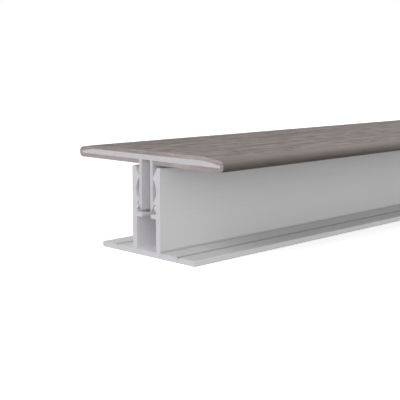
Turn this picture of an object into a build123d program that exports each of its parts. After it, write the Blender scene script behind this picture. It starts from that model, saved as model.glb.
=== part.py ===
from build123d import *
import os

# A two-part H trim that covers the joint between two runs of cladding boards.
# The aluminium base rail is screwed to the wall through its flange. The cover strip, an
# aluminium insert inside a composite skin, snaps into the channel between the rail's uprights.
# X runs across the trim, Y along it and Z up from the flange's flat back, all in millimetres.
# The origin is the middle of the flange's back. Levels are heights along Z.

# Driving sizes of the whole trim
length = 2500.0  # one stock length
board_gap = 26.7  # clear depth between the flange and the cover, for 26 mm boards

# Driving sizes of the base rail
flange_width = 42.5
flange_thickness = 1.8
flange_edge_radius = 0.4
groove_offset = 14.0  # from the middle to each V groove, which marks a line of screws
groove_width = 1.5
groove_depth = 0.5
channel_clearance = 1.3  # from the legs to the uprights' own walls
upright_thickness = 1.9
upright_shortfall = 0.75  # the uprights stop this far below the cover
upright_root_radius = 0.3
crown_width = 1.15  # what the sloping mouth leaves of each upright's top
crown_radius = 0.35
mouth_height = 3.15  # from the uprights' tops down to the grips
grip_height = 0.5
scoop_height = 7.0  # from a grip down to the crest of the first tooth
scoop_depth = 0.15  # how far the hollow between them is cut into an upright's own wall
tooth_clearance = 0.3  # from the legs to the crests of the teeth
tooth_depth = 0.8  # from the crest of a tooth to the root beside it
tooth_pitch = 1.8
tooth_count = 2
tooth_radius = 0.12  # on the teeth, the grips and the rim of the mouth
ledge_drop = 0.9  # from the foot of the last tooth down to a ledge
ledge_thickness = 1.25
ledge_gap = 4.0  # clear width between the two ledges
ledge_corner_radius = 0.3
ledge_root_radius = 0.4

# Driving sizes of the cover strip
cover_width = 65.0
skin_thickness = 1.3
plate_thickness = 1.6
plate_edge_height = 0.72  # what the sloping margins leave of the plate at its edges
plate_edge_radius = 0.2
margin_width = 6.2  # the plate's sloping margin along each edge
margin_blend_radius = 14.0
leg_spread = 6.2  # over the outsides of the two legs
leg_thickness = 1.15
leg_root_radius = 0.3
leg_tip_width = 0.3
leg_tip_clearance = 1.0  # from the legs' tips down to the ledges
grip_clearance = 0.1  # from the legs to the grips
hook_bite = 0.25  # how far a hook reaches under the crest of the first tooth
hook_clearance = 0.3  # from a hook up to the tooth that holds it
hook_radius = 0.12

# Levels and half widths of the cover's plate
cover_underside = flange_thickness + board_gap
plate_underside = cover_underside + skin_thickness
plate_top = plate_underside + plate_thickness
plate_half_width = cover_width / 2 - skin_thickness

# Levels and half widths of the legs and of the rail's channel round them
leg_outside = leg_spread / 2
leg_inside = leg_outside - leg_thickness
upright_inside = leg_outside + channel_clearance
upright_outside = upright_inside + upright_thickness
upright_top = cover_underside - upright_shortfall
rim_inside = upright_outside - crown_width
grip_inside = leg_outside + grip_clearance
grip_top = upright_top - mouth_height
grip_foot = grip_top - grip_height

# Levels and half widths of the teeth and ledges
crest_inside = leg_outside + tooth_clearance
root_inside = crest_inside + tooth_depth
first_crest = grip_foot - scoop_height
last_crest = first_crest - (tooth_count - 1) * tooth_pitch
flank_slope = tooth_pitch / 2 / tooth_depth  # fall of a tooth's flank for each unit of its reach
teeth_foot = last_crest - (upright_inside - crest_inside) * flank_slope
ledge_top = teeth_foot - ledge_drop
ledge_underside = ledge_top - ledge_thickness
ledge_inside = ledge_gap / 2

# The corners of the teeth, a crest and a root in turn, from the first crest to the last
teeth = [(crest_inside, first_crest)]
for number in range(1, tooth_count):
    crest = first_crest - number * tooth_pitch
    teeth += [(root_inside, crest + tooth_pitch / 2), (crest_inside, crest)]

# Levels and half widths of the hooks on the legs
hook_outside = crest_inside + hook_bite
hook_tip = first_crest - hook_bite * flank_slope - hook_clearance
hook_top = hook_tip + (hook_outside - leg_outside) * flank_slope
leg_tip = ledge_top + leg_tip_clearance


def corners_at(sketch, *places):
    """The corners of a section at the given half widths and levels, on both sides of its middle."""
    reach = 1e-4
    return [
        corner
        for corner in sketch.vertices()
        if any(abs(abs(corner.X) - x) < reach and abs(corner.Y - z) < reach for x, z in places)
    ]


# Base rail: one extrusion, with a grooved flange and two uprights that form the snap channel
with BuildPart() as base_rail:
    with BuildSketch(Plane.XZ) as rail_section:
        Rectangle(flange_width, flange_thickness, align=(Align.CENTER, Align.MIN))
        fillet(rail_section.vertices(), flange_edge_radius)
        with Locations((groove_offset, flange_thickness), (-groove_offset, flange_thickness)):
            Polygon(
                (-groove_width / 2, 0),
                (groove_width / 2, 0),
                (0, -groove_depth),
                align=None,
                mode=Mode.SUBTRACT,
            )

        # The right-hand upright, from its foot up the outside and back down the channel's side
        with BuildLine():
            Polyline(
                (upright_inside, 0),
                (upright_outside, 0),
                (upright_outside, upright_top),
                (rim_inside, upright_top),
                (grip_inside, grip_top),
                (grip_inside, grip_foot),
            )
            ThreePointArc(
                (grip_inside, grip_foot),
                (upright_inside + scoop_depth, grip_foot - scoop_height / 2),
                (crest_inside, first_crest),
            )
            Polyline(
                *teeth,
                (upright_inside, teeth_foot),
                (upright_inside, ledge_top),
                (ledge_inside, ledge_top),
                (ledge_inside, ledge_underside),
                (upright_inside, ledge_underside),
                (upright_inside, 0),
            )
        make_face()
        mirror(about=Plane.YZ)

        fillet(corners_at(rail_section, (upright_outside, upright_top)), crown_radius)
        fillet(
            corners_at(
                rail_section,
                (rim_inside, upright_top),
                (grip_inside, grip_top),
                (grip_inside, grip_foot),
                *teeth,
            ),
            tooth_radius,
        )
        fillet(
            corners_at(
                rail_section,
                (upright_outside, flange_thickness),
                (upright_inside, flange_thickness),
            ),
            upright_root_radius,
        )
        fillet(
            corners_at(rail_section, (ledge_inside, ledge_top), (ledge_inside, ledge_underside)),
            ledge_corner_radius,
        )
        fillet(corners_at(rail_section, (upright_inside, ledge_underside)), ledge_root_radius)
    extrude(amount=length / 2, both=True)

# The plate inside the cover, whose outline both the insert and the skin around it follow
with BuildSketch(Plane.XZ) as plate_section:
    with BuildLine():
        FilletPolyline(
            (0, plate_underside),
            (plate_half_width, plate_underside),
            (plate_half_width, plate_underside + plate_edge_height),
            (plate_half_width - margin_width, plate_top),
            (0, plate_top),
            radius=[plate_edge_radius, plate_edge_radius, margin_blend_radius],
        )
        mirror(about=Plane.YZ)
    make_face()

# Cover insert: the plate and the two hooked legs that snap into the channel, one extrusion
with BuildPart() as cover_insert:
    with BuildSketch(Plane.XZ) as insert_section:
        add(plate_section.sketch_local)
        with BuildLine():
            Polyline(
                (leg_inside, plate_top - plate_thickness / 2),
                (leg_outside, plate_top - plate_thickness / 2),
                (leg_outside, hook_top),
                (hook_outside, hook_tip),
                (leg_inside + leg_tip_width, leg_tip),
                (leg_inside, leg_tip),
                close=True,
            )
        make_face()
        mirror(about=Plane.YZ)
        fillet(corners_at(insert_section, (leg_inside, plate_underside)), leg_root_radius)
        fillet(corners_at(insert_section, (hook_outside, hook_tip)), hook_radius)
    extrude(amount=length / 2, both=True)

# Cover skin: the composite moulded round the plate, open underneath between the two legs
with BuildPart() as cover_skin:
    with BuildSketch(Plane.XZ) as skin_section:
        add(plate_section.sketch_local)
        offset(amount=skin_thickness)
        add(plate_section.sketch_local, mode=Mode.SUBTRACT)
        with Locations((0, cover_underside)):
            Rectangle(
                leg_spread,
                skin_thickness,
                align=(Align.CENTER, Align.MIN),
                mode=Mode.SUBTRACT,
            )
    extrude(amount=length / 2, both=True)

base_rail.part.label = "base_rail"
cover_insert.part.label = "cover_insert"
cover_skin.part.label = "cover_skin"

os.makedirs("parts", exist_ok=True)
for piece in (base_rail.part, cover_insert.part, cover_skin.part):
    export_step(piece, f"parts/{piece.label}.step")
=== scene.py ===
"""Composite H trim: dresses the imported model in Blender.

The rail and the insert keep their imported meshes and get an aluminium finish. The cover's skin is a
mesh of its own, with the embossed wood grain as real relief. Every length is in metres unless its
name or comment says otherwise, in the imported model's own frame: X across the trim, Y along it and
Z up from the flange's back.
"""

import math

import bpy
import numpy as np
from bpy.props import FloatProperty, FloatVectorProperty, IntProperty, PointerProperty
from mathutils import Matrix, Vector


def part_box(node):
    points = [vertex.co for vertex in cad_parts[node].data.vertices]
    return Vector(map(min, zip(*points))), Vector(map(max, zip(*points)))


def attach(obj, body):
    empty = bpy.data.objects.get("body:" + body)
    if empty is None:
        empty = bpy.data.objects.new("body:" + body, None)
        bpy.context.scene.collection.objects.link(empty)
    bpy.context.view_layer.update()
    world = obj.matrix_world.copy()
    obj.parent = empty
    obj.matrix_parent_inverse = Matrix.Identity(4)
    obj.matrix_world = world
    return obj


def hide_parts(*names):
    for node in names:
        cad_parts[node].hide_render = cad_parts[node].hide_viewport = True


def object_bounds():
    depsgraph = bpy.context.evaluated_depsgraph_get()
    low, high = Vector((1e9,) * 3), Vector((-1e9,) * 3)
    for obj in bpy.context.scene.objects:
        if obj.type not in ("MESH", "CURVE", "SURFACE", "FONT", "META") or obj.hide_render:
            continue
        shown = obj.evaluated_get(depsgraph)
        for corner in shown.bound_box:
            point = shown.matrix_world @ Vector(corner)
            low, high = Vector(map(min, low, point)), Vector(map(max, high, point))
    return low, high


bl_info = {
    "name": "Composite H Trim",
    "version": (1, 0, 0),
    "blender": (4, 5, 0),
    "location": "3D View > Sidebar > H Trim",
    "description": "Finishes a two-part cladding trim and sets up its studio",
    "category": "Object",
}

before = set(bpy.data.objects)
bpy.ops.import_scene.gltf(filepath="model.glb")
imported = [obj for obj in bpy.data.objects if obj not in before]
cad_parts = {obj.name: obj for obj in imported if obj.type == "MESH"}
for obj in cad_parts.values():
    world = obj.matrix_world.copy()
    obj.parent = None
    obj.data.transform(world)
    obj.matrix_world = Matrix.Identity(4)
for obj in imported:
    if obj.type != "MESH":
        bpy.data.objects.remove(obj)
cad_low, cad_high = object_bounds()
skin_low, skin_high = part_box("cover_skin")
insert_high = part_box("cover_insert")[1]

MM = 0.001
BODY = "root"
WHITE = (1.0, 1.0, 1.0, 1.0)

# The skin's attribute that holds how deep its grain is
GROOVES = "grain"

# Most of a noise texture's values lie between these two
NOISE_LOW, NOISE_HIGH = 0.3, 0.7

# The finishes' patterns, in blotches per metre along X, Y and Z
FIBRES = (1300.0, 60.0, 1300.0)
STRANDS = (420.0, 24.0, 420.0)
DASHES = (850.0, 170.0, 850.0)
PORES = (1100.0, 130.0, 1100.0)
TONE = (28.0, 5.0, 28.0)
WANDER = (30.0, 9.0, 30.0)
SAW_FLECKS = (260.0, 900.0, 1500.0)
SAW_PATCHES = (40.0, 200.0, 200.0)
SHEEN = (60.0, 6.0, 60.0)

# The places in the endless noise that two of the patterns are taken from
TONE_PLACE = (0.7, 3.1, 0.0)
PATCH_PLACE = (0.65, 0.0, 0.05)


# Settings

class SkinShape(bpy.types.PropertyGroup):
    """The cover skin's section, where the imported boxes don't give it already."""

    edge_height: FloatProperty(
        name="Plate edge height",
        description="Height of the insert's plate at its thin edge",
        default=0.72 * MM,
        unit="LENGTH",
        precision=5,
    )
    edge_radius: FloatProperty(
        name="Plate edge radius",
        description="Radius on the plate's thin edge, which the skin follows",
        default=0.2 * MM,
        unit="LENGTH",
        precision=5,
    )
    margin_width: FloatProperty(
        name="Margin width",
        description="Width of the plate's sloping margin",
        default=6.2 * MM,
        unit="LENGTH",
        precision=5,
    )
    blend_radius: FloatProperty(
        name="Blend radius",
        description="Radius between the plate's flat top and its margin",
        default=14.0 * MM,
        unit="LENGTH",
        precision=5,
    )
    leg_spread: FloatProperty(
        name="Leg spread",
        description="Width over the insert's legs, where the skin stops",
        default=6.2 * MM,
        unit="LENGTH",
        precision=5,
    )
    column_width: FloatProperty(
        name="Column width",
        description="Spacing of the mesh's columns across the top",
        default=0.62 * MM,
        unit="LENGTH",
        precision=5,
    )
    rows: IntProperty(
        name="Rows",
        description="Rows of faces along the trim",
        default=620,
        min=2,
    )
    corner_steps: IntProperty(
        name="Corner steps",
        description="Faces round each corner of the skin's nose",
        default=8,
        min=2,
    )
    strips: IntProperty(
        name="Strips",
        description="Strips that the outside is folded into on the map for baking",
        default=5,
        min=1,
    )


class GrainRelief(bpy.types.PropertyGroup):
    """The embossed wood grain on the skin's outside."""

    depth: FloatProperty(
        name="Depth",
        description="Depth of the deepest grooves",
        default=0.10 * MM,
        unit="LENGTH",
        precision=5,
    )
    groove_width: FloatProperty(
        name="Groove width",
        description="Width of the widest grooves",
        default=1.9 * MM,
        unit="LENGTH",
        precision=5,
    )
    groove_length: FloatProperty(
        name="Groove length",
        description="Length of the longest grooves",
        default=34.0 * MM,
        unit="LENGTH",
        precision=5,
    )
    seed: IntProperty(name="Seed", description="Picks the pattern of the grain", default=11)


class CompositeFinish(bpy.types.PropertyGroup):
    """Colours and gloss of the wood-grained composite."""

    dark: FloatVectorProperty(
        name="Dark grain",
        description="Colour in the deepest grain",
        subtype="COLOR",
        default=(0.067, 0.055, 0.049),
    )
    light: FloatVectorProperty(
        name="Light grain",
        description="Colour on the ridges between the grain",
        subtype="COLOR",
        default=(0.292, 0.252, 0.236),
    )
    cut: FloatVectorProperty(
        name="Cut face",
        description="Colour where the saw has opened the composite",
        subtype="COLOR",
        default=(0.322, 0.280, 0.271),
    )
    roughness: FloatProperty(
        name="Roughness",
        description="Roughness of the embossed surface",
        default=0.58,
        min=0.0,
        max=1.0,
        subtype="FACTOR",
    )
    specular: FloatProperty(
        name="Specular level",
        description="Strength of the surface's own gloss",
        default=0.12,
        min=0.0,
        max=1.0,
        subtype="FACTOR",
    )


class AluminiumFinish(bpy.types.PropertyGroup):
    """Colours, painted shade, painted light and gloss of the mill-finished aluminium."""

    rail: FloatVectorProperty(
        name="Rail",
        description="Colour of the rail's extruded faces",
        subtype="COLOR",
        default=(0.635, 0.635, 0.64),
    )
    # Painted light: the faces inside the channel are painted paler than the rail's outside
    channel: FloatVectorProperty(
        name="Rail channel painted light",
        description="Colour inside the rail's channel, painted paler as painted light in the recess",
        subtype="COLOR",
        default=(0.72, 0.708, 0.728),
    )
    # Painted light: the insert is painted paler than the rail, which brightens its shaded faces between
    # the legs
    insert: FloatVectorProperty(
        name="Insert",
        description="Colour of the insert's extruded faces, painted paler than the rail's as painted light between its legs",
        subtype="COLOR",
        default=(0.70, 0.69, 0.71),
    )
    rail_cut: FloatVectorProperty(
        name="Rail cut face",
        description="Colour of the rail's sawn ends",
        subtype="COLOR",
        default=(0.515, 0.502, 0.525),
    )
    insert_cut: FloatVectorProperty(
        name="Insert cut face",
        description="Colour of the insert's sawn ends",
        subtype="COLOR",
        default=(0.475, 0.463, 0.483),
    )
    # Painted shade along the foot of the uprights, in the right-hand groove and faint over the left wing
    foot_shade: FloatProperty(
        name="Foot painted shade",
        description="Strength of the painted shade along the foot of the uprights",
        default=0.3,
        min=0.0,
        max=1.0,
        subtype="FACTOR",
    )
    groove_shade: FloatProperty(
        name="Groove painted shade",
        description="Strength of the painted shade in the right-hand groove",
        default=0.45,
        min=0.0,
        max=1.0,
        subtype="FACTOR",
    )
    wing_shade: FloatProperty(
        name="Wing painted shade",
        description="Strength of the faint painted shade on top of the left wing",
        default=0.14,
        min=0.0,
        max=1.0,
        subtype="FACTOR",
    )
    metallic: FloatProperty(
        name="Metallic",
        description="Share of the finish that reflects as bare metal",
        default=0.1,
        min=0.0,
        max=1.0,
        subtype="FACTOR",
    )
    roughness: FloatProperty(
        name="Roughness",
        description="Roughness of the extruded faces",
        default=0.42,
        min=0.0,
        max=1.0,
        subtype="FACTOR",
    )
    specular: FloatProperty(
        name="Specular level",
        description="Strength of the thin film of oxide's own gloss",
        default=0.2,
        min=0.0,
        max=1.0,
        subtype="FACTOR",
    )


class Studio(bpy.types.PropertyGroup):
    """The camera, the floor and the light."""

    camera_offset: FloatVectorProperty(
        name="Camera offset",
        description="The camera's place from the middle of the near end's lower edge",
        subtype="TRANSLATION",
        unit="LENGTH",
        default=(201.28 * MM, -177.37 * MM, 58.95 * MM),
    )
    heading: FloatProperty(
        name="Heading",
        description="The camera's turn from straight along the trim",
        subtype="ANGLE",
        default=math.radians(45.1),
    )
    pitch: FloatProperty(
        name="Pitch",
        description="How far the camera looks down",
        subtype="ANGLE",
        default=math.radians(8.8),
    )
    lens: FloatProperty(
        name="Focal length",
        description="Focal length in millimetres",
        subtype="DISTANCE_CAMERA",
        default=80.0,
    )
    zenith: FloatProperty(
        name="Zenith level",
        description="Brightness of the even light from straight above",
        default=0.2,
        min=0.0,
    )
    horizon: FloatProperty(
        name="Horizon level",
        description="Brightness of the even light from the sides",
        default=1.2,
        min=0.0,
    )
    key: FloatProperty(
        name="Key level",
        description="Brightness that the key light gives a face that looks at it",
        default=0.47,
        min=0.0,
    )
    key_from: FloatVectorProperty(
        name="Key direction",
        description="Where the key light comes from, as seen from the trim",
        subtype="DIRECTION",
        default=(0.50, -0.85, 0.08),
    )
    fill: FloatProperty(
        name="Fill level",
        description="Brightness that the fill light gives a face that looks at it",
        default=0.39,
        min=0.0,
    )
    fill_from: FloatVectorProperty(
        name="Fill direction",
        description="Where the fill light comes from, as seen from the trim",
        subtype="DIRECTION",
        default=(0.10, -0.70, 0.70),
    )
    softness: FloatProperty(
        name="Softness",
        description="The two lamps' apparent size",
        subtype="ANGLE",
        default=math.radians(38),
    )
    floor_glow: FloatProperty(
        name="Floor glow",
        description="Brightness that the floor adds where it is seen, which lightens the shadow on it",
        default=0.45,
        min=0.0,
    )
    floor_bounce: FloatProperty(
        name="Floor bounce",
        description="Share of the light that the floor gives back to the trim",
        default=0.5,
        min=0.0,
        max=1.0,
        subtype="FACTOR",
    )


SETTINGS = {
    "htrim_skin": SkinShape,
    "htrim_grain": GrainRelief,
    "htrim_composite": CompositeFinish,
    "htrim_aluminium": AluminiumFinish,
    "htrim_studio": Studio,
}


# Node helpers

def connect(tree, socket, value):
    """Links a socket to another, or sets it to a plain value."""
    if isinstance(value, bpy.types.NodeSocket):
        tree.links.new(value, socket)
    else:
        socket.default_value = value


def add_node(tree, kind, inputs=None, **settings):
    """A node of the given kind, with its settings and the values of its inputs."""
    node = tree.nodes.new(kind)
    for name, value in settings.items():
        setattr(node, name, value)
    for name, value in (inputs or {}).items():
        connect(tree, node.inputs[name], value)
    return node


def maths(tree, operation, first, second=0.0, clamp=False):
    """The result of one arithmetic step, whose operands are sockets or numbers."""
    node = add_node(
        tree,
        "ShaderNodeMath",
        operation=operation,
        use_clamp=clamp,
        inputs={0: first, 1: second},
    )
    return node.outputs["Value"]


def mix_colours(tree, factor, first, second):
    """A colour between two others."""
    node = add_node(tree, "ShaderNodeMix", data_type="RGBA")
    factor_input, first_input, second_input, colour_output = 0, 6, 7, 2
    connect(tree, node.inputs[factor_input], factor)
    connect(tree, node.inputs[first_input], first)
    connect(tree, node.inputs[second_input], second)
    return node.outputs[colour_output]


def scaled_colour(tree, colour, factor):
    """A colour made brighter or darker by a factor."""
    node = add_node(
        tree, "ShaderNodeVectorMath", operation="SCALE", inputs={0: colour, "Scale": factor}
    )
    return node.outputs["Vector"]


def moved(tree, place, shift):
    """A place moved by a vector."""
    node = add_node(tree, "ShaderNodeVectorMath", operation="ADD", inputs={0: place, 1: shift})
    return node.outputs["Vector"]


def spread(tree, value, low, high, to_low=0.0, to_high=1.0):
    """A value taken from one range to another, held inside the new range."""
    node = add_node(
        tree,
        "ShaderNodeMapRange",
        inputs={
            "Value": value,
            "From Min": low,
            "From Max": high,
            "To Min": to_low,
            "To Max": to_high,
        },
    )
    return node.outputs["Result"]


def object_place(tree):
    """The place on the object, in metres."""
    return add_node(tree, "ShaderNodeTexCoord").outputs["Object"]


def object_axes(tree):
    """The place on the object as its separate X, Y and Z."""
    return add_node(tree, "ShaderNodeSeparateXYZ", inputs={"Vector": object_place(tree)}).outputs


def stretched_noise(tree, place, scales, detail=3.0, roughness=0.5):
    """Noise whose blotches are stretched: scales gives the blotches per metre along X, Y and Z."""
    scaled = add_node(
        tree, "ShaderNodeVectorMath", operation="MULTIPLY", inputs={0: place, 1: scales}
    )
    noise = add_node(
        tree,
        "ShaderNodeTexNoise",
        inputs={
            "Vector": scaled.outputs["Vector"],
            "Scale": 1.0,
            "Detail": detail,
            "Roughness": roughness,
        },
    )
    return noise.outputs["Fac"]


def around_one(tree, noise, change):
    """A factor that follows a noise up to a share above and below 1."""
    return spread(tree, noise, NOISE_LOW, NOISE_HIGH, 1.0 - change, 1.0 + change)


def new_group(name, inputs, outputs):
    """An empty node group with its sockets, and its input and output nodes."""
    group = bpy.data.node_groups.new(name, "ShaderNodeTree")
    for socket, default in inputs:
        made = group.interface.new_socket(
            name=socket, in_out="INPUT", socket_type="NodeSocketFloat"
        )
        made.default_value = default
    for socket in outputs:
        group.interface.new_socket(name=socket, in_out="OUTPUT", socket_type="NodeSocketFloat")
    return group, group.nodes.new("NodeGroupInput"), group.nodes.new("NodeGroupOutput")


def place_group(tree, group, **values):
    """A node group in a material, with the values of its inputs."""
    node = add_node(tree, "ShaderNodeGroup", node_tree=group)
    for name, value in values.items():
        connect(tree, node.inputs[name.replace("_", " ").capitalize()], value)
    return node


def empty_material(name):
    """A material with a bare Principled shader, and its tree and shader."""
    material = bpy.data.materials.new(name)
    material.use_nodes = True
    tree = material.node_tree
    tree.nodes.clear()
    shader = add_node(tree, "ShaderNodeBsdfPrincipled")
    output = add_node(tree, "ShaderNodeOutputMaterial")
    tree.links.new(shader.outputs["BSDF"], output.inputs["Surface"])
    return material, tree, shader


def add_bump(tree, shader, height, distance):
    """Raises the shader's surface by a height from 0 to 1 times a distance."""
    bump = add_node(
        tree,
        "ShaderNodeBump",
        inputs={"Strength": 1.0, "Distance": distance, "Height": height},
    )
    tree.links.new(bump.outputs["Normal"], shader.inputs["Normal"])


# Effects that several materials share

def cut_face_group():
    """Where the saw has cut the trim square, and the fine marks that it left there."""
    name = "Cut face"
    if name in bpy.data.node_groups:
        return bpy.data.node_groups[name]
    group, given, made = new_group(name, [("Mark spacing", 0.5 * MM)], ["Mask", "Marks"])

    # A face is cut where it looks along the trim, as its normal's Y tells
    slanting, square = 0.85, 0.95
    facing = add_node(group, "ShaderNodeNewGeometry").outputs["True Normal"]
    along = add_node(group, "ShaderNodeSeparateXYZ", inputs={"Vector": facing}).outputs["Y"]
    mask = spread(group, maths(group, "ABSOLUTE", along), slanting, square)

    # The blade's centre lies far below and to the side, so its marks are nearly straight arcs
    blade_centre = (160 * MM, 0.0, -120 * MM)
    from_centre = add_node(
        group,
        "ShaderNodeVectorMath",
        operation="DISTANCE",
        inputs={0: object_place(group), 1: blade_centre},
    )
    turns = maths(group, "DIVIDE", from_centre.outputs["Value"], given.outputs["Mark spacing"])
    marks = add_node(
        group,
        "ShaderNodeTexNoise",
        noise_dimensions="1D",
        inputs={"W": turns, "Scale": 1.0, "Detail": 3.0, "Roughness": 0.6},
    )
    group.links.new(mask, made.inputs["Mask"])
    group.links.new(marks.outputs["Fac"], made.inputs["Marks"])
    return group


def die_line_group():
    """The fine lines that the die leaves along an extrusion, and slow changes in its sheen."""
    name = "Die lines"
    if name in bpy.data.node_groups:
        return bpy.data.node_groups[name]
    group, given, made = new_group(
        name, [("Line spacing", 0.4 * MM), ("Line length", 0.6)], ["Lines", "Sheen"]
    )
    place = object_place(group)
    across = maths(group, "DIVIDE", 1.0, given.outputs["Line spacing"])
    along = maths(group, "DIVIDE", 1.0, given.outputs["Line length"])
    scales = add_node(group, "ShaderNodeCombineXYZ", inputs={"X": across, "Y": along, "Z": across})
    lines = stretched_noise(group, place, scales.outputs["Vector"], detail=4.0, roughness=0.65)
    sheen = stretched_noise(group, place, SHEEN, detail=2.0)
    group.links.new(lines, made.inputs["Lines"])
    group.links.new(sheen, made.inputs["Sheen"])
    return group


def crease_shade_group():
    """Painted shade that darkens a crease that runs along the trim."""
    name = "Crease"
    if name in bpy.data.node_groups:
        return bpy.data.node_groups[name]
    group, given, made = new_group(
        name, [("Across", 0.0), ("Level", 0.0), ("Reach", 1.0 * MM)], ["Mask"]
    )
    axes = object_axes(group)
    side = maths(group, "SUBTRACT", axes["X"], given.outputs["Across"])
    rise = maths(group, "SUBTRACT", axes["Z"], given.outputs["Level"])
    offset = add_node(group, "ShaderNodeCombineXYZ", inputs={"X": side, "Z": rise})
    distance = add_node(
        group, "ShaderNodeVectorMath", operation="LENGTH", inputs={0: offset.outputs["Vector"]}
    ).outputs["Value"]

    # The painted shade is full over the first part of its reach, and then fades out
    full_share = 0.3
    share = maths(group, "DIVIDE", distance, given.outputs["Reach"])
    mask = spread(group, share, 1.0, full_share)
    group.links.new(mask, made.inputs["Mask"])
    return group


# Materials

def darkened(tree, colour, creases):
    """A colour darkened by painted shade in the given creases: place across, level, reach and strength.
    """
    for across, level, reach, strength in creases:
        crease = place_group(tree, crease_shade_group(), across=across, level=level, reach=reach)
        shade = spread(tree, crease.outputs["Mask"], 0.0, 1.0, 1.0, 1.0 - strength)
        colour = scaled_colour(tree, colour, shade)
    return colour


def channel_light_mask(tree):
    """1 on the faces inside the rail's channel, where the painted light goes, and 0 on its outside and
    underneath.
    """
    # The mask changes inside the uprights' walls, and between the flange's back and its top
    wall_inner, wall_outer = 4.8 * MM, 5.6 * MM
    flange_low, flange_high = 0.5 * MM, 1.5 * MM
    axes = object_axes(tree)
    between = spread(tree, maths(tree, "ABSOLUTE", axes["X"]), wall_outer, wall_inner)
    above = spread(tree, axes["Z"], flange_low, flange_high)
    return maths(tree, "MULTIPLY", between, above)


def aluminium(name, colour, cut_colour, finish, creases=(), channel=None):
    """Mill-finished aluminium with die lines along it and saw marks on its ends."""
    mark_spacing, mark_contrast = 0.45 * MM, 0.03
    line_spacing, line_length, line_contrast = 0.35 * MM, 0.5, 0.02
    sheen_change, cut_roughness = 0.04, 0.12
    bump_depth = 0.005 * MM
    material, tree, shader = empty_material(name)
    cut = place_group(tree, cut_face_group(), mark_spacing=mark_spacing).outputs
    die = place_group(
        tree, die_line_group(), line_spacing=line_spacing, line_length=line_length
    ).outputs

    plain = tuple(colour)
    # Painted light: a paler colour on the faces inside the channel
    if channel:
        plain = mix_colours(tree, channel_light_mask(tree), (*colour, 1.0), (*channel, 1.0))
    extruded = scaled_colour(tree, plain, around_one(tree, die["Lines"], line_contrast))
    # Painted shade darkens the extruded colour in the creases
    extruded = darkened(tree, extruded, creases)
    sawn_bright = around_one(tree, cut["Marks"], mark_contrast)
    sawn = scaled_colour(tree, tuple(cut_colour), sawn_bright)
    tree.links.new(mix_colours(tree, cut["Mask"], extruded, sawn), shader.inputs["Base Color"])
    shader.inputs["Metallic"].default_value = finish.metallic
    shader.inputs["Specular IOR Level"].default_value = finish.specular

    glossy, matt = finish.roughness - sheen_change, finish.roughness + sheen_change
    sheen = spread(tree, die["Sheen"], NOISE_LOW, NOISE_HIGH, glossy, matt)
    rough = maths(tree, "ADD", sheen, maths(tree, "MULTIPLY", cut["Mask"], cut_roughness))
    tree.links.new(rough, shader.inputs["Roughness"])
    height = mix_colours(tree, cut["Mask"], die["Lines"], cut["Marks"])
    add_bump(tree, shader, height, bump_depth)
    return material


def grain_light(tree, place):
    """How light the grain is at each place, from 0 to 1, and the noise of its finest fibres."""
    base_light, pore_share, groove_share = -0.07, 0.3, 0.1
    wander_reach = 6 * MM
    pore_low, pore_high = 0.56, 0.64

    # The grain wanders a little, so its streaks aren't ruled lines
    wander = maths(tree, "SUBTRACT", stretched_noise(tree, place, WANDER, detail=2.0), 0.5)
    shift = add_node(
        tree, "ShaderNodeCombineXYZ", inputs={"X": maths(tree, "MULTIPLY", wander, wander_reach)}
    )
    grain_place = moved(tree, place, shift.outputs["Vector"])
    fibres = stretched_noise(tree, grain_place, FIBRES, detail=3.0, roughness=0.6)
    strands = stretched_noise(tree, grain_place, STRANDS, detail=2.0, roughness=0.6)
    dashes = stretched_noise(tree, grain_place, DASHES, detail=2.0, roughness=0.6)
    tone = stretched_noise(tree, moved(tree, place, TONE_PLACE), TONE, detail=2.0)
    pores = stretched_noise(tree, grain_place, PORES, detail=1.0)

    light = base_light
    for part, share in ((fibres, 0.2), (strands, 0.4), (dashes, 0.45), (tone, 0.35)):
        clear = spread(tree, part, NOISE_LOW, NOISE_HIGH)
        light = maths(tree, "ADD", maths(tree, "MULTIPLY", clear, share), light)
    pores = spread(tree, pores, pore_low, pore_high)
    light = maths(tree, "SUBTRACT", light, maths(tree, "MULTIPLY", pores, pore_share))
    grooves = add_node(tree, "ShaderNodeAttribute", attribute_name=GROOVES).outputs["Fac"]
    grooves = maths(tree, "MULTIPLY", grooves, groove_share)
    return maths(tree, "SUBTRACT", light, grooves, clamp=True), fibres


def light_with_painted_noses(tree, light):
    """The grain's lightness, evened out on the smooth noses and lifted there as a painted highlight,
    with painted shade towards their feet.
    """
    # Distances in from the cover's edge, and levels above its underside
    plain_start, plain_end = 6 * MM, 2 * MM
    nose_start, nose_end = 3 * MM, 1.2 * MM
    foot_top, foot_low = 3.1 * MM, 0.3 * MM
    plain_highlight_light, plain_share, foot_shade_share = 0.72, 0.85, 0.75

    axes = object_axes(tree)
    out = maths(tree, "ABSOLUTE", axes["X"])
    edge, underside = skin_high.x, skin_low.z
    # The smooth margins lose their grain and take one lightness, set high as a painted highlight along
    # the crest
    plain = spread(tree, out, edge - plain_start, edge - plain_end, 0.0, plain_share)
    missing = maths(tree, "SUBTRACT", plain_highlight_light, light)
    light = maths(tree, "ADD", light, maths(tree, "MULTIPLY", missing, plain))
    # Painted shade: darker towards each nose's foot
    foot = spread(tree, axes["Z"], underside + foot_top, underside + foot_low, 0.0, foot_shade_share)
    at_nose = spread(tree, out, edge - nose_start, edge - nose_end)
    return maths(tree, "SUBTRACT", light, maths(tree, "MULTIPLY", foot, at_nose), clamp=True)


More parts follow.
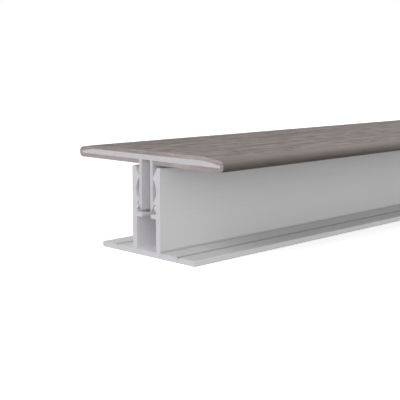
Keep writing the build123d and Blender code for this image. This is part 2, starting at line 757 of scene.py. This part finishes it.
def sawn_composite(tree, place, colour):
    """The colour of the sawn composite, and the noise of the flecks in it.

    The saw drags the wood flour sideways into short pale and dark flecks.
    """
    fleck_dark, fleck_pale = 0.85, 1.12
    patch_low, patch_high, patch_dark, patch_pale = 0.35, 0.65, 0.78, 1.15
    flecks = stretched_noise(tree, place, SAW_FLECKS, detail=3.0, roughness=0.6)
    patches = stretched_noise(tree, moved(tree, place, PATCH_PLACE), SAW_PATCHES, detail=3.0)
    fleck_tint = spread(tree, flecks, NOISE_LOW, NOISE_HIGH, fleck_dark, fleck_pale)
    patch_tint = spread(tree, patches, patch_low, patch_high, patch_dark, patch_pale)
    tint = maths(tree, "MULTIPLY", fleck_tint, patch_tint)
    return scaled_colour(tree, tuple(colour), tint), flecks


def composite(name, finish):
    """Wood-grained composite, darker in its grain and lighter where it is cut."""
    grain_roughness, ridge_roughness = finish.roughness + 0.08, finish.roughness - 0.05
    cut_roughness = 0.3
    bump_depth = 0.06 * MM
    material, tree, shader = empty_material(name)
    cut = place_group(tree, cut_face_group()).outputs["Mask"]
    place = object_place(tree)
    light, fibres = grain_light(tree, place)
    # Painted highlight on the noses' margins, and painted shade towards their feet
    light = light_with_painted_noses(tree, light)
    skin = mix_colours(tree, light, (*finish.dark, 1.0), (*finish.light, 1.0))
    sawn, flecks = sawn_composite(tree, place, finish.cut)
    tree.links.new(mix_colours(tree, cut, skin, sawn), shader.inputs["Base Color"])
    shader.inputs["Specular IOR Level"].default_value = finish.specular

    gloss = spread(tree, fibres, NOISE_LOW, NOISE_HIGH, grain_roughness, ridge_roughness)
    rough = maths(tree, "ADD", gloss, maths(tree, "MULTIPLY", cut, cut_roughness), clamp=True)
    tree.links.new(rough, shader.inputs["Roughness"])
    add_bump(tree, shader, mix_colours(tree, cut, light, flecks), bump_depth)
    return material


def dress(piece, material):
    """Gives a piece one material."""
    piece.data.materials.clear()
    piece.data.materials.append(material)


# The skin

def rounded(before, corner, after, radius, steps):
    """Points round a corner of an outline, from one tangent point to the other."""
    back = (Vector(before) - Vector(corner)).normalized()
    on = (Vector(after) - Vector(corner)).normalized()
    half = back.angle(on) / 2
    middle = (back + on).normalized()
    centre = Vector(corner) + middle * (radius / math.sin(half))
    start = Vector(corner) + back * (radius / math.tan(half)) - centre
    end = Vector(corner) + on * (radius / math.tan(half)) - centre
    turn = start.angle(end)
    sweep = [
        (start * math.sin((1 - share) * turn) + end * math.sin(share * turn)) / math.sin(turn)
        for share in np.linspace(0, 1, steps + 1)
    ]
    return [tuple(centre + arm) for arm in sweep]


def outline_half(half_width, underside, top, shape, grown, steps):
    """Half of the plate's outline grown outwards, from its underside round the edge to its top."""
    high_edge = (half_width, underside + shape.edge_height)
    crest = (half_width - shape.margin_width, top)
    slope = Vector(crest) - Vector(high_edge)
    facing = Vector((slope.y, -slope.x)).normalized()
    reach = facing.dot(Vector(high_edge)) + grown
    right, floor, roof = half_width + grown, underside - grown, top + grown
    corners = [
        (0.0, floor),
        (right, floor),
        (right, (reach - facing.x * right) / facing.y),
        ((reach - facing.y * roof) / facing.x, roof),
        (0.0, roof),
    ]
    radii = (shape.edge_radius + grown, shape.edge_radius + grown, shape.blend_radius + grown)
    points = []
    for number, radius in enumerate(radii, start=1):
        points.append(rounded(*corners[number - 1 : number + 2], radius, steps))
    return points


def filled(points, spacing):
    """The same line with extra points, so that no step is longer than the spacing."""
    line = [points[0]]
    for start, end in zip(points, points[1:]):
        length = math.dist(start, end)
        steps = max(1, math.ceil(length / spacing - 1e-6))
        line += [
            tuple(np.array(start) + (np.array(end) - np.array(start)) * number / steps)
            for number in range(1, steps + 1)
        ]
    return line


def grain_depth(across, along, relief):
    """How deep the grain is at each place, from 0 to 1: a sum of stretched soft noises."""
    bend_width, bend_length, bend_reach = 20 * MM, 90 * MM, 6 * MM
    groove_edge, groove_slope = 0.46, 0.14
    random = np.random.default_rng(relief.seed)

    def soft_noise(width, length):
        """Random values on a grid of cells, smoothly blended in between."""
        u, v = across / width, along / length
        u, v = u - u.min(), v - v.min()
        cells = random.random((int(u.max()) + 3, int(v.max()) + 3))
        column, row = u.astype(int), v.astype(int)
        s, t = u - column, v - row
        s, t = s * s * (3 - 2 * s), t * t * (3 - 2 * t)
        near = cells[column, row] * (1 - s) + cells[column + 1, row] * s
        far = cells[column, row + 1] * (1 - s) + cells[column + 1, row + 1] * s
        return near * (1 - t) + far * t

    bent = (soft_noise(bend_width, bend_length) - 0.5) * bend_reach
    across = across + bent
    total = 0.0
    for share, width, length in ((0.55, 1.0, 1.0), (0.30, 0.7, 0.5), (0.15, 6.0, 8.0)):
        noise = soft_noise(relief.groove_width * width, relief.groove_length * length)
        total = total + share * noise
    return np.clip((groove_edge - total) / groove_slope, 0.0, 1.0)


def outside_section(plate, shape, thickness):
    """The outside across the trim, from the left nose's foot over the top to the right nose's."""
    foot, edge, crest = outline_half(*plate, shape, thickness, shape.corner_steps)
    right = filled([*foot, *edge, *crest, (0.0, skin_high.z)], shape.column_width)
    return np.array([(-x, z) for x, z in right] + right[-2::-1])


def inside_section(plate, shape):
    """The inside across the trim, from the right leg round the plate to the left leg."""
    leg, plate_underside = shape.leg_spread / 2, plate[1]
    foot, edge, crest = outline_half(*plate, shape, 0.0, shape.corner_steps)
    half = [(leg, skin_low.z), (leg, plate_underside), *foot, *edge, *crest]
    return half + [(-x, z) for x, z in reversed(half)]


def engraved(section, rows, travel, relief):
    """The outside's points with the grain cut into them, and its depth at each, from 0 to 1."""
    across, along = np.meshgrid(travel, rows, indexing="ij")
    grooves = grain_depth(across, along, relief)

    # The noses are smooth: the grain fades out along the margins
    fade_start, fade_width = 5 * MM, 5 * MM
    from_foot = np.minimum(travel, travel[-1] - travel)
    grooves *= np.clip((from_foot - fade_start) / fade_width, 0.0, 1.0)[:, None]

    tangent = np.gradient(section, axis=0)
    inward = np.stack([tangent[:, 1], -tangent[:, 0]], axis=1)
    inward /= np.linalg.norm(inward, axis=1)[:, None]
    depth = grooves * relief.depth
    points = np.empty((len(section), len(rows), 3))
    points[..., 0] = section[:, 0, None] + inward[:, 0, None] * depth
    points[..., 1] = rows[None, :]
    points[..., 2] = section[:, 1, None] + inward[:, 1, None] * depth
    return points, grooves


def skin_faces(columns, rows, inside_count):
    """The faces: quads outside, quads inside, the two undersides, and a C at each end.

    The vertices are the outside's, column by column, and then a near and a far one for each point
    of the inside.
    """
    def on_outside(column, row):
        return column * rows + row

    faces = [
        (
            on_outside(column, row),
            on_outside(column + 1, row),
            on_outside(column + 1, row + 1),
            on_outside(column, row + 1),
        )
        for column in range(columns - 1)
        for row in range(rows - 1)
    ]
    first, last = columns * rows, columns - 1
    near_inside = [first + 2 * number for number in range(inside_count)]
    faces += [(a, b, b + 1, a + 1) for a, b in zip(near_inside, near_inside[1:])]

    left_foot = [on_outside(0, row) for row in range(rows)]
    right_foot = [on_outside(last, row) for row in range(rows)]
    faces.append((*reversed(right_foot), near_inside[0], near_inside[0] + 1))
    faces.append((*left_foot, near_inside[-1] + 1, near_inside[-1]))

    near_outside = [on_outside(column, 0) for column in range(columns)]
    far_outside = [on_outside(column, rows - 1) for column in range(columns)]
    faces.append((*reversed(near_outside), *reversed(near_inside)))
    faces.append((*far_outside, *(number + 1 for number in near_inside)))
    return faces


def add_bake_map(mesh, travel, shape, inside_count):
    """Lays the skin's faces out flat for baking, the long outside in strips side by side.

    The faces come in the order in which skin_faces makes them. Travel is how far across the
    outside each column lies, from 0 to 1. Sizes are shares of the map's side.
    """
    gap = 0.004
    inside_height, underside_height, end_height = 0.08, 0.02, 0.03
    full_width, end_width = 1.0 - 2 * gap, 0.5 - 2 * gap
    strip_rows = math.ceil(shape.rows / shape.strips)
    other_height = inside_height + 2 * underside_height + end_height + 4 * gap
    strip_height = (1.0 - gap - other_height) / shape.strips - gap

    def placed(u, v, foot, height, left=gap, width=full_width):
        """Places from 0 to 1 in both directions, moved to their part of the map."""
        return np.stack([left + width * u, foot + height * v], axis=-1).reshape(-1, 2)

    # The outside, whose quads go along each column in turn
    column, row = np.divmod(np.arange((len(travel) - 1) * shape.rows), shape.rows)
    strip, row = np.divmod(row, strip_rows)
    u = (row[:, None] + np.array([0, 0, 1, 1])) / strip_rows
    v = 1 - travel[column[:, None] + np.array([0, 1, 1, 0])]
    foot = gap + strip[:, None] * (strip_height + gap)
    parts = [placed(u, v, foot, strip_height)]
    foot = gap + shape.strips * (strip_height + gap)

    # The inside, a row of long quads
    step = np.arange(inside_count - 1)[:, None]
    v = 1 - (step + np.array([0, 1, 1, 0])) / (inside_count - 1)
    u = np.broadcast_to(np.array([0.0, 0.0, 1.0, 1.0]), v.shape)
    parts.append(placed(u, v, foot, inside_height))
    foot += inside_height + gap

    # The two undersides, the right one from its far end and the left one from its near end
    u = np.append(np.linspace(0, 1, shape.rows + 1), (1.0, 0.0))
    v = np.append(np.zeros(shape.rows + 1), (1.0, 1.0))
    for _ in range(2):
        parts.append(placed(u, v, foot, underside_height))
        foot += underside_height + gap

    # The two ends side by side, each as it is seen from its own end of the trim
    near_end, far_end = mesh.polygons[-2], mesh.polygons[-1]
    for left, facing, face in ((gap, 1, near_end), (0.5 + gap, -1, far_end)):
        corners = np.array([mesh.vertices[number].co for number in face.vertices])
        u = 0.5 + facing * corners[:, 0] / (skin_high.x - skin_low.x)
        v = (corners[:, 2] - skin_low.z) / (skin_high.z - skin_low.z)
        parts.append(placed(u, v, foot, end_height, left, end_width))

    bake_map = mesh.uv_layers.new(name="OFBake")
    bake_map.uv.foreach_set("vector", np.concatenate(parts).reshape(-1))


def build_skin(shape, relief):
    """The cover skin as a mesh: a grained outside, and plain faces against the insert's plate."""
    name = "cover_skin_grained"
    sharp_angle = math.radians(40)
    near, far = skin_low.y, skin_high.y
    thickness = skin_high.z - insert_high.z
    plate = (insert_high.x, skin_low.z + thickness, insert_high.z)
    section = outside_section(plate, shape, thickness)
    inside = inside_section(plate, shape)
    rows = np.linspace(near, far, shape.rows + 1)

    # Distance over the surface, so that the grain isn't stretched round the nose
    steps = np.linalg.norm(np.diff(section, axis=0), axis=1)
    travel = np.concatenate(([0.0], np.cumsum(steps)))
    points, grooves = engraved(section, rows, travel, relief)
    vertices = [tuple(point) for point in points.reshape(-1, 3)]
    for x, z in inside:
        vertices += [(x, near, z), (x, far, z)]

    mesh = bpy.data.meshes.new(name)
    mesh.from_pydata(vertices, [], skin_faces(len(section), len(rows), len(inside)))
    mesh.validate()
    add_bake_map(mesh, travel / travel[-1], shape, len(inside))
    depths = mesh.attributes.new(GROOVES, "FLOAT", "POINT")
    depths.data.foreach_set("value", np.append(grooves, np.zeros(2 * len(inside))))
    mesh.shade_smooth()
    mesh.set_sharp_from_angle(angle=sharp_angle)
    skin = bpy.data.objects.new(name, mesh)
    bpy.context.scene.collection.objects.link(skin)
    return skin


# The studio

def seen_directly(tree):
    """1 for rays that show a surface or its mirror image, and 0 for rays that only light things."""
    rays = add_node(tree, "ShaderNodeLightPath").outputs
    seen = maths(tree, "MAXIMUM", rays["Is Camera Ray"], rays["Is Glossy Ray"])
    return maths(tree, "MAXIMUM", seen, rays["Is Transmission Ray"])


def add_floor(studio):
    """A wide white floor just under the trim."""
    half, drop = 30.0, 0.02 * MM
    level = cad_low.z - drop
    corners = [(-half, -half, level), (half, -half, level), (half, half, level), (-half, half, level)]
    mesh = bpy.data.meshes.new("studio_floor")
    mesh.from_pydata(corners, [], [(0, 1, 2, 3)])
    floor = bpy.data.objects.new("studio_floor", mesh)
    bpy.context.scene.collection.objects.link(floor)

    material = bpy.data.materials.new("Studio floor")
    material.use_nodes = True
    tree = material.node_tree
    tree.nodes.clear()
    bounce = (studio.floor_bounce,) * 3 + (1.0,)
    seen = seen_directly(tree)
    colour = mix_colours(tree, seen, bounce, WHITE)
    matt = add_node(tree, "ShaderNodeBsdfDiffuse", inputs={"Color": colour})
    glow = add_node(
        tree, "ShaderNodeEmission", inputs={"Strength": maths(tree, "MULTIPLY", seen, studio.floor_glow)}
    )
    both = add_node(tree, "ShaderNodeAddShader")
    tree.links.new(matt.outputs["BSDF"], both.inputs[0])
    tree.links.new(glow.outputs["Emission"], both.inputs[1])
    output = add_node(tree, "ShaderNodeOutputMaterial")
    tree.links.new(both.outputs["Shader"], output.inputs["Surface"])
    mesh.materials.append(material)


def add_sky(scene, studio):
    """Soft light from all round, strongest from the sides. Seen directly, it is plain white."""
    world = bpy.data.worlds.new("Studio")
    world.use_nodes = True
    tree = world.node_tree
    tree.nodes.clear()
    direction = add_node(tree, "ShaderNodeTexCoord").outputs["Generated"]
    height = add_node(tree, "ShaderNodeSeparateXYZ", inputs={"Vector": direction}).outputs["Z"]
    level = spread(tree, height, 0.0, 1.0, studio.horizon, studio.zenith)
    unseen = maths(tree, "SUBTRACT", 1.0, seen_directly(tree))
    strength = maths(tree, "ADD", seen_directly(tree), maths(tree, "MULTIPLY", unseen, level))
    background = add_node(
        tree, "ShaderNodeBackground", inputs={"Color": WHITE, "Strength": strength}
    )
    output = add_node(tree, "ShaderNodeOutputWorld")
    tree.links.new(background.outputs["Background"], output.inputs["Surface"])
    scene.world = world


def add_lamp(scene, name, level, source, softness):
    """A soft, distant lamp that shines from the given direction.

    A sun of strength pi gives a white face that looks at it a brightness of 1.
    """
    light = bpy.data.lights.new(name, "SUN")
    light.energy = level * math.pi
    light.angle = softness
    lamp = bpy.data.objects.new(name, light)
    lamp.rotation_mode = "QUATERNION"
    lamp.rotation_quaternion = Vector(source).to_track_quat("Z", "Y")
    scene.collection.objects.link(lamp)


def add_camera(scene, studio):
    """The camera that stands where the photograph was taken from."""
    data = bpy.data.cameras.new("camera")
    data.lens = studio.lens
    data.clip_start = 0.01
    camera = bpy.data.objects.new("camera", data)
    middle = (cad_low.x + cad_high.x) / 2
    camera.location = Vector((middle, cad_low.y, cad_low.z)) + Vector(studio.camera_offset)
    camera.rotation_euler = (math.pi / 2 - studio.pitch, 0.0, studio.heading)
    scene.collection.objects.link(camera)
    scene.camera = camera


# Operators

class HTRIM_OT_rail(bpy.types.Operator):
    """Give the base rail its aluminium finish"""

    bl_idname = "htrim.rail"
    bl_label = "Finish the Base Rail"

    def execute(self, context):
        finish = context.scene.htrim_aluminium
        upright_outside, flange_top, foot_reach = 6.3 * MM, 1.8 * MM, 0.8 * MM
        groove_offset, groove_level = 14.0 * MM, 1.5 * MM
        groove_reach, wing_reach = 1.2 * MM, 8.0 * MM
        # Painted shade along the foot of each upright, in the right-hand groove and faint over the left
        # wing
        creases = [
            (upright_outside, flange_top, foot_reach, finish.foot_shade),
            (-upright_outside, flange_top, foot_reach, finish.foot_shade),
            (groove_offset, groove_level, groove_reach, finish.groove_shade),
            (-groove_offset, groove_level, wing_reach, finish.wing_shade),
        ]
        made = aluminium(
            "Rail aluminium", finish.rail, finish.rail_cut, finish, creases, finish.channel
        )
        dress(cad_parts["base_rail"], made)
        return {"FINISHED"}


class HTRIM_OT_insert(bpy.types.Operator):
    """Give the cover's insert its aluminium finish"""

    bl_idname = "htrim.insert"
    bl_label = "Finish the Cover Insert"

    def execute(self, context):
        finish = context.scene.htrim_aluminium
        made = aluminium("Insert aluminium", finish.insert, finish.insert_cut, finish)
        dress(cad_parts["cover_insert"], made)
        return {"FINISHED"}


class HTRIM_OT_skin(bpy.types.Operator):
    """Build the cover's composite skin with its embossed grain"""

    bl_idname = "htrim.skin"
    bl_label = "Build the Cover Skin"

    def execute(self, context):
        scene = context.scene
        skin = build_skin(scene.htrim_skin, scene.htrim_grain)
        dress(skin, composite("Grained composite", scene.htrim_composite))
        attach(skin, BODY)
        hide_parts("cover_skin")
        return {"FINISHED"}


class HTRIM_OT_studio(bpy.types.Operator):
    """Set up the floor, the light and the camera"""

    bl_idname = "htrim.studio"
    bl_label = "Set Up the Studio"

    def execute(self, context):
        studio = context.scene.htrim_studio
        add_floor(studio)
        add_sky(context.scene, studio)
        add_lamp(context.scene, "key", studio.key, studio.key_from, studio.softness)
        add_lamp(context.scene, "fill", studio.fill, studio.fill_from, studio.softness)
        add_camera(context.scene, studio)
        context.scene.view_settings.view_transform = "Standard"
        return {"FINISHED"}


# The panel and the add-on's own registration

OPERATORS = (HTRIM_OT_rail, HTRIM_OT_insert, HTRIM_OT_skin, HTRIM_OT_studio)


class HTRIM_PT_panel(bpy.types.Panel):
    """Lists the steps that finish the trim"""

    bl_idname = "HTRIM_PT_panel"
    bl_label = "Composite H Trim"
    bl_space_type = "VIEW_3D"
    bl_region_type = "UI"
    bl_category = "H Trim"

    def draw(self, context):
        for operator in OPERATORS:
            self.layout.operator(operator.bl_idname)


CLASSES = (*SETTINGS.values(), *OPERATORS, HTRIM_PT_panel)


def register():
    for cls in CLASSES:
        bpy.utils.register_class(cls)
    for name, cls in SETTINGS.items():
        setattr(bpy.types.Scene, name, PointerProperty(type=cls))


def unregister():
    for name in SETTINGS:
        delattr(bpy.types.Scene, name)
    for cls in reversed(CLASSES):
        bpy.utils.unregister_class(cls)


def main():
    """Registers the add-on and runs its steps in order."""
    register()
    bpy.ops.htrim.rail()
    bpy.ops.htrim.insert()
    bpy.ops.htrim.skin()
    bpy.ops.htrim.studio()


if __name__ == "__main__":
    main()
